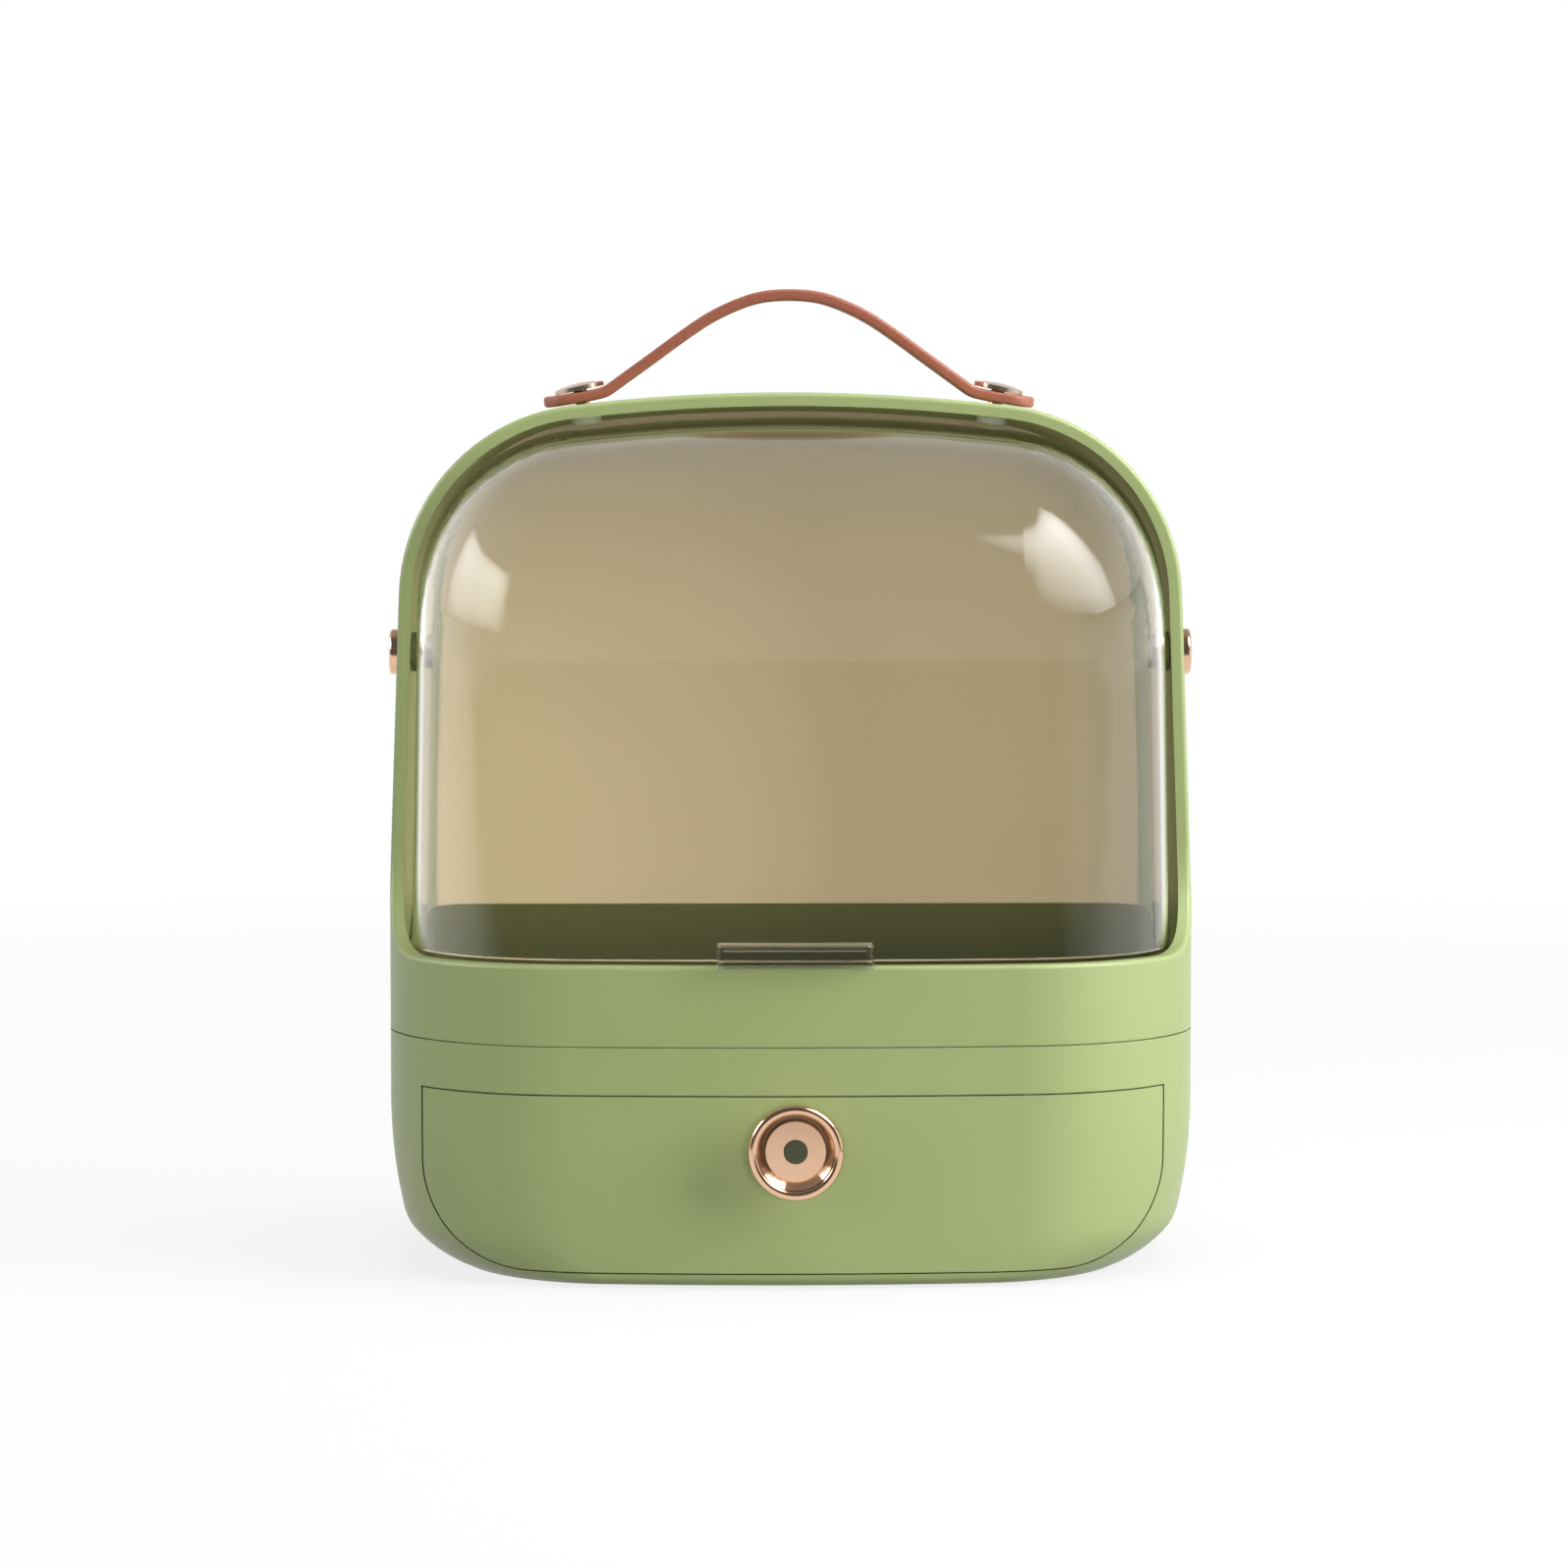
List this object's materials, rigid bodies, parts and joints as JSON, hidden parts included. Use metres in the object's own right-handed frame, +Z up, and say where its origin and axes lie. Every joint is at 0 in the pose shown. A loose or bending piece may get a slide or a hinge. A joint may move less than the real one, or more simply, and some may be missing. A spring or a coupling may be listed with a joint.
{
  "type": "cosmetic case",
  "caption": "Portable cosmetic case with an arched hoop body, a clear lid that turns up inside the hoop, a sliding drawer below with a metal knob, and a leather carrying strap.",
  "frame": {"origin": "middle of the whole outline, on the floor the case stands on", "axes": "+Z up, front with the drawer faces -Y, +X to the right as seen from the front"},
  "size_m": [0.2866, 0.1995, 0.3471],
  "materials": {
    "green_plastic": "satin moulded plastic",
    "tray_plastic": "satin moulded plastic, darker olive",
    "lid_clear": "polished clear plastic with a faint warm tint",
    "liner_plastic": "satin tan plastic",
    "clear": "polished clear plastic",
    "rose_metal": "polished rose gold plating",
    "rivet_metal": "polished plating",
    "strap_leather": "smooth terracotta brown leather",
    "plug_plastic": "satin dark plastic",
    "screw_steel": "plain steel",
    "foot_rubber": "matt rubber"
  },
  "bodies": {
    "case": {"upper_shell": "green_plastic", "back_liner": "liner_plastic", "compartment_tray": "tray_plastic", "base_shell": "green_plastic", "shell_screws": "screw_steel", "foot_front_left": "foot_rubber", "foot_front_right": "foot_rubber", "foot_rear_left": "foot_rubber", "foot_rear_right": "foot_rubber", "handle_strap": "strap_leather", "strap_rivet_left": "rivet_metal", "strap_rivet_right": "rivet_metal", "strap_burr_left": "green_plastic", "strap_burr_right": "green_plastic", "pivot_cap_left": "rose_metal", "pivot_cap_right": "rose_metal", "pivot_washer_left": "tray_plastic", "pivot_washer_right": "tray_plastic", "pivot_screw_left": "screw_steel", "pivot_screw_right": "screw_steel"},
    "lid": {"lid_shell": "lid_clear", "lid_pull": "clear"},
    "drawer": {"drawer_front": "green_plastic", "drawer_tray": "green_plastic", "front_screws": "screw_steel", "knob": "rose_metal", "knob_plug": "plug_plastic", "knob_washer": "screw_steel", "knob_screw": "screw_steel"}
  },
  "joints": [
    {"name": "lid_hinge", "type": "hinge", "parent": "case", "child": "lid", "pos_m": [0, 0.00005, 0.2175], "axis": [-1, 0, 0], "range_deg": [0, 90]},
    {"name": "drawer_slide", "type": "slide", "parent": "case", "child": "drawer", "axis": [0, -1, 0], "range_m": [0, 0.11]}
  ]
}
